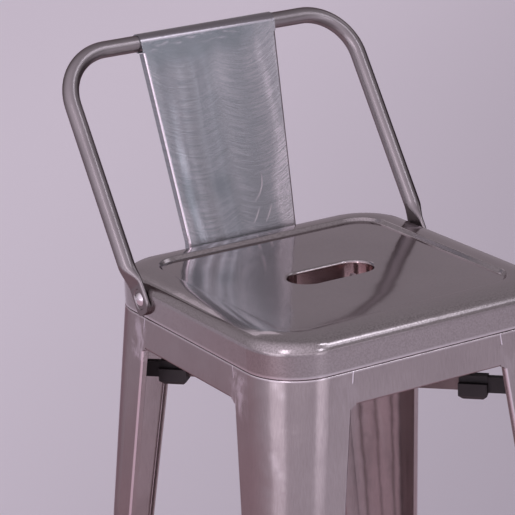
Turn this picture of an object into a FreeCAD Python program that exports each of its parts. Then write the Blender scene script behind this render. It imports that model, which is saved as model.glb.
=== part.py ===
import FreeCAD, Part
import math
import os

# Metal bar stool with a low back, in millimetres.
# +X is the sitter's left-to-right seen from the front, the front faces -Y, the back is at +Y, +Z is up.

# Seat pan, one pressed sheet
seat_height = 762.0
seat_side = 310.0
seat_depth = 35.5
seat_corner_r = 52.0
rim_width = 32.0
rim_flat = 1.5
rim_slope_deg = 18.0
rim_roll_r = 11.5
panel_drop = 2.5
panel_corner_r = 28.0
panel_wall_deg = 45.0
panel_step_r = 2.0
panel_crown = 1.0
panel_crown_width = 40.0
panel_middle_r = 12.0
pan_sheet = 1.2
skirt_edge_r = 0.5
hole_length = 88.0
hole_width = 38.0
hole_edge_r = 3.0
hole_lip = 17.0

# Seam between the skirt and the frame that stands inside it
seam_gap = 0.8
seam_edge_r = 1.0
joggle_height = 2.5
tongue_height = 9.0

# Legs, folded from sheet; the splay is how far a face leans out for each mm of height
leg_sheet = 1.5
leg_splay = 0.065
leg_arm_top = 77.0
leg_arm_foot = 25.5
leg_corner_r_foot = 17.5
leg_lip = 6.0
leg_bend_r = 2.5

# Aprons between the legs
apron_drop = 32.0
apron_lip = 5.0
weld_r = 5.0
weld_toe_deg = 20.0
slit_length = 11.0
slit_width = 0.8

# Crossed bars under the seat, and the bumpers on them
brace_drop = 77.0
brace_height = 13.0
brace_thickness = 4.0
brace_lap_fit = 0.1
bumper_reach_front = 119.0
bumper_reach_rear = 141.0
bumper_length = 27.0
bumper_width = 20.0
bumper_height = 16.0
bumper_under = 7.0
bumper_chamfer = 4.0
bumper_wall = 2.5
bumper_tail_wall = 1.2
bumper_fit = 0.1
bumper_split = 1.5
bumper_tail_gap = 5.0

# Footrests
footrest_height = 255.0
footrest_face = 28.0
footrest_tread = 26.0
footrest_return = 11.0
footrest_sheet = 1.5
footrest_bend_r = 4.0
footrest_inset = 2.6

# Feet
foot_base = 4.0
foot_margin = 1.5
foot_plug = 22.0
foot_fit = 0.2
foot_edge_r = 3.0

# Back bow, a bent tube with flattened ends
tube_r = 8.0
tube_wall = 1.2
bow_stand = 5.5
bow_bend_r = 50.0
bow_bolt_y = 80.2
bow_rail_y = 214.9
bow_rail_rise = 221.8
blade_thickness = 4.5
blade_width = 24.5
blade_tip = 15.0
blade_tip_r = 9.0
blade_flat = 12.0
blade_neck = 22.0
blade_crest_deg = 20.0
dish_depth = 0.8
dish_width = 17.0
dish_length = 20.0

# Splat, a sheet rolled round the bow's rail
splat_sheet = 1.2
splat_half_top = 75.0
splat_half_foot = 61.0
splat_fold = 9.0
splat_bend_r = 2.5
splat_fold_gap = 0.8
splat_tab_top = 31.5
splat_tab_bottom = 5.0
splat_tab_bend_r = 30.0
splat_bolt_x = 35.0
sleeve_fit = 0.1

# Bolts with domed heads, and their nuts
bolt_r = 2.5
bolt_hole_fit = 0.25
bolt_head_r = 6.5
bolt_head_height = 3.3
bolt_end = 2.0
nut_flats = 8.0
nut_height = 4.0
nut_face_r = 3.6
nut_chamfer_deg = 30.0
nut_thread_fit = 0.05
nut_roll_gap = 0.1

# Heights and reaches that follow
seat_half = seat_side / 2
seam_z = seat_height - seat_depth
panel_z = seat_height - panel_drop
skirt_inner = seat_half - pan_sheet
tongue_inner = skirt_inner - leg_sheet
leg_drop = seam_z - foot_base
edge_slope = leg_splay + (leg_arm_top - leg_arm_foot) / leg_drop
weld_toe = math.atan(edge_slope) + math.radians(weld_toe_deg)
lip_start = apron_drop + weld_r * (1 - math.sin(weld_toe))
step_run = (panel_drop + panel_crown) / math.tan(math.radians(panel_wall_deg))
step_half = seat_half - rim_width + step_run / 2
rim_slope = math.radians(rim_slope_deg)
rim_crest = step_half + rim_flat
roll_x = seat_half - rim_roll_r
crown_r = (roll_x + rim_roll_r * math.sin(rim_slope) - rim_crest) / math.sin(rim_slope)
roll_z = seat_height - crown_r * (1 - math.cos(rim_slope)) - rim_roll_r * math.cos(rim_slope)
bolt_z = roll_z - nut_face_r - nut_roll_gap
bow_half = seat_half + bow_stand
bow_rail_z = seam_z + bow_rail_rise
bow_lean = math.atan2(bow_rail_y - bow_bolt_y, bow_rail_z - bolt_z)
bow_length = math.hypot(bow_rail_y - bow_bolt_y, bow_rail_z - bolt_z)
sleeve_inner_r = tube_r + sleeve_fit
sleeve_r = sleeve_inner_r + splat_sheet
brace_bottom = seam_z - brace_drop
brace_top = brace_bottom + brace_height

X_AXIS = FreeCAD.Vector(1, 0, 0)
Y_AXIS = FreeCAD.Vector(0, 1, 0)
Z_AXIS = FreeCAD.Vector(0, 0, 1)
CORNERS = {"rear_right": 0, "rear_left": 90, "front_left": 180, "front_right": 270}
SIDES = {"rear": 0, "left": 90, "front": 180, "right": 270}


def face_half(drop):
    """Half the frame's outside width at a drop below the seam."""
    return seat_half + leg_splay * drop


def arm_width(drop):
    """Width of a leg's arm at a drop below the seam."""
    return leg_arm_top + (leg_arm_foot - leg_arm_top) * drop / leg_drop


def corner_r(drop):
    """Radius of a leg's outside corner at a drop below the seam."""
    return seat_corner_r + (leg_corner_r_foot - seat_corner_r) * drop / leg_drop


def arm_edge(drop):
    """Distance from the stool's middle plane to the free edge of a leg's arm."""
    return face_half(drop) - arm_width(drop)


# The origin is on the floor, at the middle of the stool's overall depth.
foot_reach = face_half(leg_drop) + foot_margin
back_reach = bow_rail_y + sleeve_r
TO_ORIGIN = FreeCAD.Vector(0, (foot_reach - back_reach) / 2, 0)


def at(x, y, z):
    return FreeCAD.Vector(x, y, z)


def rounded_wire(corners):
    """A closed wire through corners, each a point with the radius that rounds it."""
    runs = []
    for index, (point, radius) in enumerate(corners):
        before = (corners[index - 1][0] - point).normalize()
        after = (corners[(index + 1) % len(corners)][0] - point).normalize()
        if radius <= 0:
            runs.append((point, None, point))
            continue
        half_angle = before.getAngle(after) / 2
        reach = radius / math.tan(half_angle)
        inward = (before + after).normalize()
        middle = point + inward * (radius / math.sin(half_angle) - radius)
        runs.append((point + before * reach, middle, point + after * reach))
    edges = []
    for index, (first, middle, last) in enumerate(runs):
        if middle is not None:
            edges.append(Part.Arc(first, middle, last).toShape())
        following = runs[(index + 1) % len(runs)][0]
        if last.distanceToPoint(following) > 1e-6:
            edges.append(Part.LineSegment(last, following).toShape())
    return Part.Wire(edges)


def sharp_wire(points):
    return rounded_wire([(point, 0) for point in points])


def prism(wire, along):
    return Part.Face(wire).extrude(along)


def loft(*wires):
    return Part.makeLoft(list(wires), True, True)


def fused(*shapes):
    return shapes[0].multiFuse(list(shapes[1:])).removeSplitter()


def square_wire(half, radius, z):
    """A square with rounded corners about the stool's axis."""
    turns = [(-half, -half), (half, -half), (half, half), (-half, half)]
    return rounded_wire([(at(x, y, z), radius) for x, y in turns])


def obround_wire(length, width, z):
    """A slot outline with round ends, long in X."""
    end = length / 2 - width / 2
    side = width / 2
    edges = [
        Part.LineSegment(at(-end, -side, z), at(end, -side, z)).toShape(),
        Part.Arc(at(end, -side, z), at(end + side, 0, z), at(end, side, z)).toShape(),
        Part.LineSegment(at(end, side, z), at(-end, side, z)).toShape(),
        Part.Arc(at(-end, side, z), at(-end - side, 0, z), at(-end, -side, z)).toShape(),
    ]
    return Part.Wire(edges)


def edges_at(shape, z, reach=None):
    """Level edges at a height, and within a reach of the stool's axis where one is given."""
    found = []
    for edge in shape.Edges:
        box = edge.BoundBox
        level = abs(box.ZMin - z) < 1e-4 and abs(box.ZMax - z) < 1e-4
        far = max(abs(box.XMin), abs(box.XMax), abs(box.YMin), abs(box.YMax))
        if level and (reach is None or far < reach):
            found.append(edge)
    return found


def turned(shape, degrees):
    copy = shape.copy()
    copy.rotate(at(0, 0, 0), Z_AXIS, degrees)
    return copy


def mirrored(shape):
    return shape.mirror(at(0, 0, 0), X_AXIS)


def group(*solids):
    return Part.makeCompound(list(solids))


def save(name, shape):
    """Writes one node, moved so that the origin is where the stool stands."""
    moved = shape.copy()
    moved.translate(TO_ORIGIN)
    moved.exportStep("parts/" + name + ".step")
    print(name, "solids", len(moved.Solids), "valid", moved.isValid(), "cm3", round(moved.Volume / 1000, 2))


# Seat pan
def panel_dome(half, radius, foot_z):
    """The panel's crown: flat in the middle, falling along an arc to the foot of the step."""
    steps = 4
    wires = []
    for step in range(steps + 1):
        share = step / steps
        height = panel_crown * (1 - (1 - share) ** 2)
        corner = radius + (panel_middle_r - radius) * share
        wires.append(square_wire(half - panel_crown_width * share, corner, foot_z + height))
    return Part.makeLoft(wires, True, False)


def rim_section(inset, y):
    """The rim and skirt in section at +X: upright, rolled over, then crowned up to a level crest."""
    inner = seat_half - seat_corner_r
    side = seat_half - inset
    low = seam_z - inset
    roll = rim_roll_r - inset
    crown = crown_r - inset
    crown_z = seat_height - crown_r

    def on_roll(tilt):
        return at(roll_x + roll * math.sin(tilt), y, roll_z + roll * math.cos(tilt))

    def on_crown(tilt):
        return at(rim_crest + crown * math.sin(tilt), y, crown_z + crown * math.cos(tilt))

    upright = math.pi / 2
    crest = on_crown(0)
    ends = [crest, at(inner, y, crest.z), at(inner, y, low), at(side, y, low), on_roll(upright)]
    edges = [Part.LineSegment(first, last).toShape() for first, last in zip(ends, ends[1:])]
    edges.append(Part.Arc(on_roll(upright), on_roll((upright + rim_slope) / 2), on_roll(rim_slope)).toShape())
    edges.append(Part.Arc(on_crown(rim_slope), on_crown(rim_slope / 2), crest).toShape())
    return Part.Wire(edges)


def rim_block(inset):
    """The section carried round the seat: straight along its sides and turned about its corners."""
    inner = seat_half - seat_corner_r
    low = seam_z - inset
    core = prism(square_wire(inner, 0, low), at(0, 0, seat_height - inset - low))
    side = prism(rim_section(inset, -inner), at(0, 2 * inner, 0))
    corner = Part.Face(rim_section(inset, inner)).revolve(at(inner, inner, 0), Z_AXIS, 90)
    pieces = [turned(piece, degrees) for degrees in SIDES.values() for piece in (side, corner)]
    return fused(core, *pieces)


def pan_block(inset):
    """The pan's outer block, or with the sheet as inset, the hollow under the sheet."""
    top = seat_height - inset
    block = rim_block(inset)
    shift = inset * math.tan(math.radians(panel_wall_deg / 2))
    step_top = step_half + shift
    step_foot = step_top - step_run
    radius_top = panel_corner_r + step_run / 2 + shift
    radius_foot = radius_top - step_run
    foot_z = panel_z - panel_crown - inset
    sunk = loft(
        square_wire(step_foot, radius_foot, foot_z),
        square_wire(step_top, radius_top, top),
    )
    block = block.cut(sunk.cut(panel_dome(step_foot, radius_foot, foot_z)))
    step_edges = edges_at(block, top, step_top + 1e-3)
    block = block.makeFillet(panel_step_r - inset, step_edges) if panel_step_r > inset else block
    return block.makeFillet(panel_step_r + inset, edges_at(block, foot_z))


def seat_pan():
    low = seam_z - pan_sheet
    outer = pan_block(0)
    outer = outer.makeFillet(skirt_edge_r, edges_at(outer, seam_z))
    hole = prism(obround_wire(hole_length, hole_width, low), at(0, 0, 2 * seat_depth))
    outer = outer.cut(hole)
    outer = outer.makeFillet(hole_edge_r, edges_at(outer, panel_z, hole_length / 2 + 1e-3))
    hollow = pan_block(pan_sheet)
    lip_length = hole_length + 2 * pan_sheet
    lip_width = hole_width + 2 * pan_sheet
    lip = prism(obround_wire(lip_length, lip_width, panel_z - hole_lip), at(0, 0, hole_lip))
    hollow = hollow.cut(lip)
    ceiling = panel_z - pan_sheet
    hollow = hollow.makeFillet(hole_edge_r - pan_sheet, edges_at(hollow, ceiling, lip_length / 2 + 1e-3))
    pan = outer.cut(hollow)
    drill_r = bolt_r + bolt_hole_fit
    across = Part.makeCylinder(drill_r, seat_side, at(-seat_half, bow_bolt_y, bolt_z), X_AXIS)
    drills = [across]
    for side in (-1, 1):
        start = at(side * splat_bolt_x, 0, bolt_z)
        drills.append(Part.makeCylinder(drill_r, seat_half, start, Y_AXIS))
    return pan.cut(drills)


# Legs
def plain_section(z, half, edge, radius, thickness):
    """An L of sheet in plan, with its corner at +X +Y."""
    inner = half - thickness
    return rounded_wire([
        (at(edge, half, z), 0),
        (at(half, half, z), radius),
        (at(half, edge, z), 0),
        (at(inner, edge, z), 0),
        (at(inner, inner, z), radius - thickness),
        (at(edge, inner, z), 0),
    ])


def lipped_section(drop):
    """A leg's section below the apron, with its free edges folded inwards."""
    z = seam_z - drop
    half = face_half(drop)
    edge = arm_edge(drop)
    lip = half - leg_lip
    inner = half - leg_sheet
    inner_edge = edge + leg_sheet
    inner_bend_r = leg_bend_r - leg_sheet
    return rounded_wire([
        (at(edge, lip, z), 0),
        (at(edge, half, z), leg_bend_r),
        (at(half, half, z), corner_r(drop)),
        (at(half, edge, z), leg_bend_r),
        (at(lip, edge, z), 0),
        (at(lip, inner_edge, z), 0),
        (at(inner, inner_edge, z), inner_bend_r),
        (at(inner, inner, z), corner_r(drop) - leg_sheet),
        (at(inner_edge, inner, z), inner_bend_r),
        (at(inner_edge, lip, z), 0),
    ])


def joggle_section(drop):
    thickness = face_half(drop) - tongue_inner
    return plain_section(seam_z - drop, face_half(drop), arm_edge(drop), corner_r(drop), thickness)


def sheet_section(drop):
    return plain_section(seam_z - drop, face_half(drop), arm_edge(drop), corner_r(drop), leg_sheet)


def leg():
    """One leg at +X +Y: a tongue inside the skirt, a joggle out to the skirt's face, then the arms."""
    joggle_drop = seam_gap + joggle_height
    tongue_low = seam_z - joggle_drop
    tongue = plain_section(tongue_low, skirt_inner, arm_edge(joggle_drop), seat_corner_r - pan_sheet, leg_sheet)
    body = fused(
        prism(tongue, at(0, 0, joggle_drop + tongue_height)),
        loft(joggle_section(seam_gap), joggle_section(joggle_drop)),
        loft(sheet_section(seam_gap), sheet_section(lip_start)),
        loft(lipped_section(lip_start), lipped_section(leg_drop)),
    )
    ledge = edges_at(body, seam_z - seam_gap)
    outer_edges = [edge for edge in ledge if edge.BoundBox.YMax > seat_half or edge.BoundBox.XMax > seat_half]
    long_edges = [edge for edge in outer_edges if edge.Length > 2 * leg_sheet]
    return body.makeFillet(seam_edge_r, long_edges)


# Aprons
def face_band(profile):
    """Sweeps a profile, given as corners in Y and Z, across the whole width of the rear side."""
    wide = face_half(leg_drop)
    wire = rounded_wire([(at(-wide, y, z), radius) for y, z, radius in profile])
    return prism(wire, at(2 * wide, 0, 0))


def face_cutter(wire):
    """A block of the given outline in X and Z, deep enough for the whole rear side."""
    return prism(wire, at(0, face_half(leg_drop) + seat_half, 0))


def weld_corner():
    """The rounded weld in the window's corner, which closes the angle between the apron's and the leg's lips."""
    stretch = math.hypot(1, edge_slope)
    low = seam_z - apron_drop
    upper_drop = apron_drop - leg_bend_r - apron_lip
    centre = at(arm_edge(apron_drop + weld_r) - weld_r * stretch, 0, low - weld_r)
    middle_angle = (weld_toe + math.pi / 2) / 2
    toe = centre + at(math.cos(weld_toe), 0, math.sin(weld_toe)) * weld_r
    middle = centre + at(math.cos(middle_angle), 0, math.sin(middle_angle)) * weld_r
    crown = centre + at(0, 0, weld_r)
    upper = at(arm_edge(upper_drop), 0, seam_z - upper_drop)
    toe_on_leg = at(arm_edge(seam_z - toe.z), 0, toe.z)
    back = at(crown.x, 0, upper.z)
    outline = Part.Wire([
        Part.LineSegment(toe_on_leg, toe).toShape(),
        Part.Arc(toe, middle, crown).toShape(),
        Part.LineSegment(crown, back).toShape(),
        Part.LineSegment(back, upper).toShape(),
        Part.LineSegment(upper, toe_on_leg).toShape(),
    ])
    lower_drop = apron_drop + weld_r
    filler = face_band([
        (face_half(upper_drop), seam_z - upper_drop, 0),
        (face_half(lower_drop), seam_z - lower_drop, 0),
        (face_half(lower_drop) - apron_lip, seam_z - lower_drop, 0),
        (face_half(upper_drop) - apron_lip, seam_z - upper_drop, 0),
    ])
    return filler.common(face_cutter(outline))


def apron():
    """One apron on the rear side, with a slit left open beside each leg just under the seam."""
    joggle_drop = seam_gap + joggle_height
    low = seam_z - apron_drop
    low_half = face_half(apron_drop)
    band = face_band([
        (face_half(seam_gap), seam_z - seam_gap, seam_edge_r),
        (low_half, low, leg_bend_r),
        (low_half - apron_lip, low, 0),
        (low_half - apron_lip, low + leg_sheet, 0),
        (low_half - leg_sheet, low + leg_sheet, leg_bend_r - leg_sheet),
        (face_half(joggle_drop) - leg_sheet, seam_z - joggle_drop, 0),
        (tongue_inner, seam_z - joggle_drop, 0),
        (tongue_inner, seam_z + tongue_height, 0),
        (skirt_inner, seam_z + tongue_height, 0),
        (skirt_inner, seam_z - seam_gap, 0),
    ])
    slit_drop = seam_gap + slit_length
    right_side = [
        at(arm_edge(0) - slit_width, 0, seam_z + tongue_height),
        at(arm_edge(slit_drop) - slit_width, 0, seam_z - slit_drop),
        at(arm_edge(slit_drop), 0, seam_z - slit_drop),
        at(arm_edge(apron_drop), 0, low),
    ]
    left_side = [at(-point.x, 0, point.z) for point in reversed(right_side)]
    strip = band.common(face_cutter(sharp_wire(right_side + left_side)))
    corner = weld_corner()
    return fused(strip, corner, mirrored(corner))


# Crossed bars and bumpers
def frame_inside(upper_drop, lower_drop):
    """The space between the four legs, which the bars' ends are cut to."""
    wires = []
    for drop in (upper_drop, lower_drop):
        half = face_half(drop) - leg_sheet
        wires.append(square_wire(half, corner_r(drop) - leg_sheet, seam_z - drop))
    return loft(*wires)


def brace_bar(degrees, notch_low):
    """One bar on a diagonal, half cut away where the other bar crosses it."""
    length = 4 * seat_side
    bar = Part.makeBox(length, brace_thickness, brace_height, at(-length / 2, -brace_thickness / 2, brace_bottom))
    notch_width = brace_thickness + 2 * brace_lap_fit
    corner = at(-notch_width / 2, -brace_thickness, notch_low)
    notch = Part.makeBox(notch_width, 2 * brace_thickness, brace_height / 2, corner)
    bar = turned(bar.cut(notch), degrees)
    return bar.common(frame_inside(brace_drop - 2 * brace_height, brace_drop + brace_height))


def bumper(reach):
    """A bumper along +X: a pad under the bar, a clip over it and a thin tail towards the leg."""
    pad_low = brace_bottom - bumper_under
    pad = Part.makeBox(bumper_length, bumper_width, bumper_height, at(reach, -bumper_width / 2, pad_low))
    pad = pad.makeChamfer(bumper_chamfer, edges_at(pad, pad_low))
    cover = brace_thickness / 2 + bumper_fit + bumper_wall
    clip_height = brace_top + bumper_wall - pad_low - bumper_chamfer
    clip = Part.makeBox(bumper_length, 2 * cover, clip_height, at(reach, -cover, pad_low + bumper_chamfer))
    drop = seam_z - brace_top
    leg_inside = face_half(drop) - leg_sheet - corner_r(drop) * (1 - math.sqrt(0.5))
    tail_end = leg_inside * math.sqrt(2) - bumper_tail_gap
    tail_cover = brace_thickness / 2 + bumper_fit + bumper_tail_wall
    tail_low = brace_bottom - bumper_tail_wall
    tail_height = brace_height + 2 * bumper_tail_wall
    tail = Part.makeBox(tail_end - reach, 2 * tail_cover, tail_height, at(reach, -tail_cover, tail_low))
    body = fused(pad, clip, tail)
    slot_half = brace_thickness / 2 + bumper_fit
    slot_low = brace_bottom - bumper_fit
    slot = Part.makeBox(2 * tail_end, 2 * slot_half, brace_top - slot_low, at(0, -slot_half, slot_low))
    split = Part.makeBox(2 * tail_end, bumper_split, brace_height, at(0, -bumper_split / 2, slot_low - brace_height))
    return body.cut([slot, split])


# Footrests
def footrest():
    """One folded rail on the rear side, between the lips of two legs."""
    top_drop = seam_z - footrest_height
    low_drop = top_drop + footrest_face
    outer = face_half(top_drop) - footrest_inset
    outer_low = face_half(low_drop) - footrest_inset
    back = outer - footrest_tread
    inner_bend_r = footrest_bend_r - footrest_sheet
    under = footrest_height - footrest_sheet
    rail = face_band([
        (outer, footrest_height, footrest_bend_r),
        (outer_low, seam_z - low_drop, 0),
        (outer_low - footrest_sheet, seam_z - low_drop, 0),
        (outer - footrest_sheet, under, inner_bend_r),
        (back + footrest_sheet, under, inner_bend_r),
        (back + footrest_sheet, footrest_height - footrest_return, 0),
        (back, footrest_height - footrest_return, 0),
        (back, footrest_height, footrest_bend_r),
    ])
    right_side = [
        at(arm_edge(top_drop), 0, footrest_height),
        at(arm_edge(low_drop), 0, seam_z - low_drop),
    ]
    left_side = [at(-point.x, 0, point.z) for point in reversed(right_side)]
    return rail.common(face_cutter(sharp_wire(right_side + left_side)))


# Feet
def foot():
    """One plug at +X +Y: a base under the leg's end and a square plug between the lips."""
    half = face_half(leg_drop) + foot_margin
    edge = arm_edge(leg_drop) - foot_margin
    base = prism(rounded_wire([
        (at(edge, half, 0), foot_edge_r),
        (at(half, half, 0), corner_r(leg_drop) + foot_margin),
        (at(half, edge, 0), foot_edge_r),
        (at(edge, edge, 0), foot_edge_r),
    ]), at(0, 0, foot_base))
    wires = []
    for drop in (leg_drop, leg_drop - foot_plug):
        wall = leg_sheet + foot_fit
        far = face_half(drop) - wall
        near = arm_edge(drop) + wall
        z = seam_z - drop
        wires.append(rounded_wire([
            (at(near, far, z), foot_edge_r),
            (at(far, far, z), corner_r(drop) - wall),
            (at(far, near, z), foot_edge_r),
            (at(near, near, z), foot_edge_r),
        ]))
    return fused(base, loft(*wires))


# Back bow
def in_bow_plane(shape):
    """Leans a shape built upright about the bolts' line back to where the bow stands."""
    shape.Placement = FreeCAD.Placement(
        at(0, bow_bolt_y, bolt_z),
        FreeCAD.Rotation(X_AXIS, -math.degrees(bow_lean)),
    )
    return shape


def bow_path(start):
    bend = bow_bend_r
    top = bow_length
    diagonal = bend * (1 - math.sqrt(0.5))
    points = {}
    for side in (-1, 1):
        points[side] = [
            at(side * bow_half, 0, start),
            at(side * bow_half, 0, top - bend),
            at(side * (bow_half - diagonal), 0, top - diagonal),
            at(side * (bow_half - bend), 0, top),
        ]
    left = points[-1]
    right = points[1]
    return Part.Wire([
        Part.LineSegment(left[0], left[1]).toShape(),
        Part.Arc(left[1], left[2], left[3]).toShape(),
        Part.LineSegment(left[3], right[3]).toShape(),
        Part.Arc(right[3], right[2], right[1]).toShape(),
        Part.LineSegment(right[1], right[0]).toShape(),
    ])


def tube_along(path, radius, start):
    ring = Part.Wire(Part.Circle(at(-bow_half, 0, start), Z_AXIS, radius).toShape())
    return path.makePipeShell([ring], True, False)


def pressed_section(share, z):
    """The right end's section, from the round tube at share 0 to the flat blade at share 1."""
    eased = share * share * (3 - 2 * share)
    middle = bow_half + (seat_half + blade_thickness / 2 - bow_half) * eased
    thin = tube_r + (blade_thickness / 2 - tube_r) * eased
    wide = tube_r + (blade_width / 2 - tube_r) * eased
    side_angle = math.radians(blade_crest_deg * (1 - share))
    flat = wide - thin + thin * math.sin(side_angle)
    depth = thin * math.cos(side_angle)
    sides = []
    for sign in (1, -1):
        first = at(middle + sign * depth, -sign * flat, z)
        last = at(middle + sign * depth, sign * flat, z)
        crest = at(middle + sign * thin, 0, z)
        tip = at(middle, sign * wide, z)
        beyond = at(middle - sign * depth, sign * flat, z)
        if share == 0:
            sides.append(Part.Arc(first, crest, last).toShape())
        else:
            sides.append(Part.LineSegment(first, last).toShape())
        sides.append(Part.Arc(last, tip, beyond).toShape())
    return Part.Wire(sides)


def bow_end():
    """The right end: pressed from round to flat, cut to a rounded tip and dished round its bolt."""
    steps = 4
    sections = []
    for step in range(steps + 1):
        share = step / steps
        sections.append(pressed_section(share, blade_flat + blade_neck * (1 - share)))
    neck = Part.makeLoft(sections, True, False)
    outer_face = seat_half + blade_thickness
    blade = prism(pressed_section(1, -blade_tip), at(0, 0, blade_tip + blade_flat))
    side = blade_width / 2
    trim = prism(rounded_wire([
        (at(0, -side, -blade_tip), blade_tip_r),
        (at(0, side, -blade_tip), blade_tip_r),
        (at(0, side, blade_flat), 0),
        (at(0, -side, blade_flat), 0),
    ]), at(2 * bow_half, 0, 0))
    blade = blade.common(trim)
    wires = []
    for depth in (dish_depth, 0):
        wide = dish_width / 2 - depth
        tall = dish_length / 2 - depth
        turns = [(-wide, -tall), (wide, -tall), (wide, tall), (-wide, tall)]
        x = outer_face - depth
        wires.append(rounded_wire([(at(x, y, z), wide - dish_depth) for y, z in turns]))
    drill_r = bolt_r + bolt_hole_fit
    drill = Part.makeCylinder(drill_r, 2 * bow_half, at(0, 0, 0), X_AXIS)
    return fused(neck, blade).cut([loft(*wires), drill])


def back_bow():
    start = blade_flat + blade_neck
    path = bow_path(start)
    tube = tube_along(path, tube_r, start).cut(tube_along(path, tube_r - tube_wall, start))
    end = bow_end()
    return in_bow_plane(fused(tube, end, mirrored(end)))


# Back splat
def splat_lean():
    """Lean of the line that touches the sleeve's front and passes the tab's top corner on the skirt."""
    across = bow_rail_y - seat_half
    rise = bow_rail_z - seam_z - splat_tab_top
    return math.atan2(across, rise) - math.asin(sleeve_r / math.hypot(across, rise))


def splat_length():
    across = bow_rail_y - seat_half
    rise = bow_rail_z - seam_z - splat_tab_top
    return math.sqrt(across ** 2 + rise ** 2 - sleeve_r ** 2)


def splat_half(below):
    """Half the splat's width at a distance below the rail."""
    return splat_half_top + (splat_half_foot - splat_half_top) * below / splat_length()


def tray_section(half, place):
    """The splat's section with its sides folded back; place gives the point at a width and a depth."""
    inner = half - splat_sheet
    inner_bend_r = splat_bend_r - splat_sheet
    return rounded_wire([
        (place(-half, splat_fold), 0),
        (place(-half, 0), splat_bend_r),
        (place(half, 0), splat_bend_r),
        (place(half, splat_fold), 0),
        (place(inner, splat_fold), 0),
        (place(inner, splat_sheet), inner_bend_r),
        (place(-inner, splat_sheet), inner_bend_r),
        (place(-inner, splat_fold), 0),
    ])


def leaning_section(below):
    """The tray's section square to the leaning panel, at a distance below the rail."""
    lean = splat_lean()
    down = at(0, -math.sin(lean), -math.cos(lean))
    inward = at(0, math.cos(lean), -math.sin(lean))
    front = at(0, bow_rail_y, bow_rail_z) + down * below - inward * sleeve_r
    return tray_section(splat_half(below), lambda x, depth: front + inward * depth + X_AXIS * x)


def tab_section(angle):
    """The tray's section in the bend above the tab, from the panel's lean down to upright at zero."""
    front_r = splat_tab_bend_r + splat_sheet
    reach = front_r * math.tan(splat_lean() / 2)
    centre = at(0, seat_half + front_r, seam_z + splat_tab_top - reach)
    inward = at(0, math.cos(angle), -math.sin(angle))
    return tray_section(splat_half_foot, lambda x, depth: centre - inward * (front_r - depth) + X_AXIS * x)


def splat_tray():
    """The panel with its folded sides: leaning below the rail, bent, then upright on the rear skirt."""
    lean = splat_lean()
    reach = (splat_tab_bend_r + splat_sheet) * math.tan(lean / 2)
    steps = 4
    bend = [tab_section(lean * (1 - step / steps)) for step in range(steps + 1)]
    foot = tab_section(0)
    foot.translate(at(0, 0, splat_tab_bottom - splat_tab_top + reach))
    return fused(
        loft(leaning_section(splat_fold_start()), bend[0]),
        Part.makeLoft(bend, True, False),
        loft(bend[-1], foot),
    )


def splat_fold_start():
    """Where the folded sides start, clear of the sleeve."""
    return sleeve_r + splat_fold_gap


def plate_section(below):
    """The flat stretch between the sleeve and the folded sides; the rail's axis is at the origin."""
    half = splat_half(below)
    return sharp_wire([
        at(-half, -sleeve_r, -below),
        at(half, -sleeve_r, -below),
        at(half, -sleeve_inner_r, -below),
        at(-half, -sleeve_inner_r, -below),
    ])


def back_splat():
    wide = 2 * splat_half_top
    start = at(-splat_half_top, 0, 0)
    ring = Part.makeCylinder(sleeve_r, wide, start, X_AXIS)
    ring = ring.cut(Part.makeCylinder(sleeve_inner_r, wide, start, X_AXIS))
    open_quarter = Part.makeBox(wide, sleeve_r, sleeve_r, at(-splat_half_top, -sleeve_r, -sleeve_r))
    panel = fused(
        ring.cut(open_quarter),
        loft(plate_section(0), plate_section(splat_fold_start())),
    )
    panel.Placement = FreeCAD.Placement(
        at(0, bow_rail_y, bow_rail_z),
        FreeCAD.Rotation(X_AXIS, -math.degrees(splat_lean())),
    )
    drills = []
    for side in (-1, 1):
        corner = at(side * splat_bolt_x, seat_half - seat_depth, bolt_z)
        drills.append(Part.makeCylinder(bolt_r + bolt_hole_fit, 2 * seat_depth, corner, Y_AXIS))
    return fused(panel, splat_tray()).cut(drills)


# Bolts and nuts
def bolt(grip):
    """A domed bolt along +Z with the underside of its head at zero; the grip is what it clamps."""
    dome_r = (bolt_head_r ** 2 + bolt_head_height ** 2) / (2 * bolt_head_height)
    dome = Part.makeSphere(dome_r, at(0, 0, bolt_head_height - dome_r))
    head = dome.common(Part.makeCylinder(bolt_head_r, bolt_head_height))
    length = grip + nut_height + bolt_end
    return fused(head, Part.makeCylinder(bolt_r, length, at(0, 0, -length)))


def nut():
    """A nut along +Z with its bearing face at zero."""
    outer_r = nut_flats / math.sqrt(3)
    turns = [math.radians(60 * index) for index in range(6)]
    hexagon = sharp_wire([at(outer_r * math.cos(turn), outer_r * math.sin(turn), 0) for turn in turns])
    rise = (outer_r - nut_face_r) * math.tan(math.radians(nut_chamfer_deg))
    profile = sharp_wire([
        at(0, 0, 0),
        at(nut_face_r, 0, 0),
        at(outer_r, 0, rise),
        at(outer_r, 0, nut_height - rise),
        at(nut_face_r, 0, nut_height),
        at(0, 0, nut_height),
    ])
    turned_form = Part.Face(profile).revolve(at(0, 0, 0), Z_AXIS, 360)
    bore = Part.makeCylinder(bolt_r + nut_thread_fit, nut_height)
    return prism(hexagon, at(0, 0, nut_height)).common(turned_form).cut(bore)


def facing(shape, place, direction):
    copy = shape.copy()
    copy.Placement = FreeCAD.Placement(place, FreeCAD.Rotation(Z_AXIS, direction))
    return copy


def bow_fasteners():
    seat = seat_half + blade_thickness - dish_depth
    one_bolt = facing(bolt(seat - skirt_inner), at(seat, bow_bolt_y, bolt_z), X_AXIS)
    one_nut = facing(nut(), at(skirt_inner, bow_bolt_y, bolt_z), X_AXIS * -1)
    return group(one_bolt, mirrored(one_bolt)), group(one_nut, mirrored(one_nut))


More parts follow.
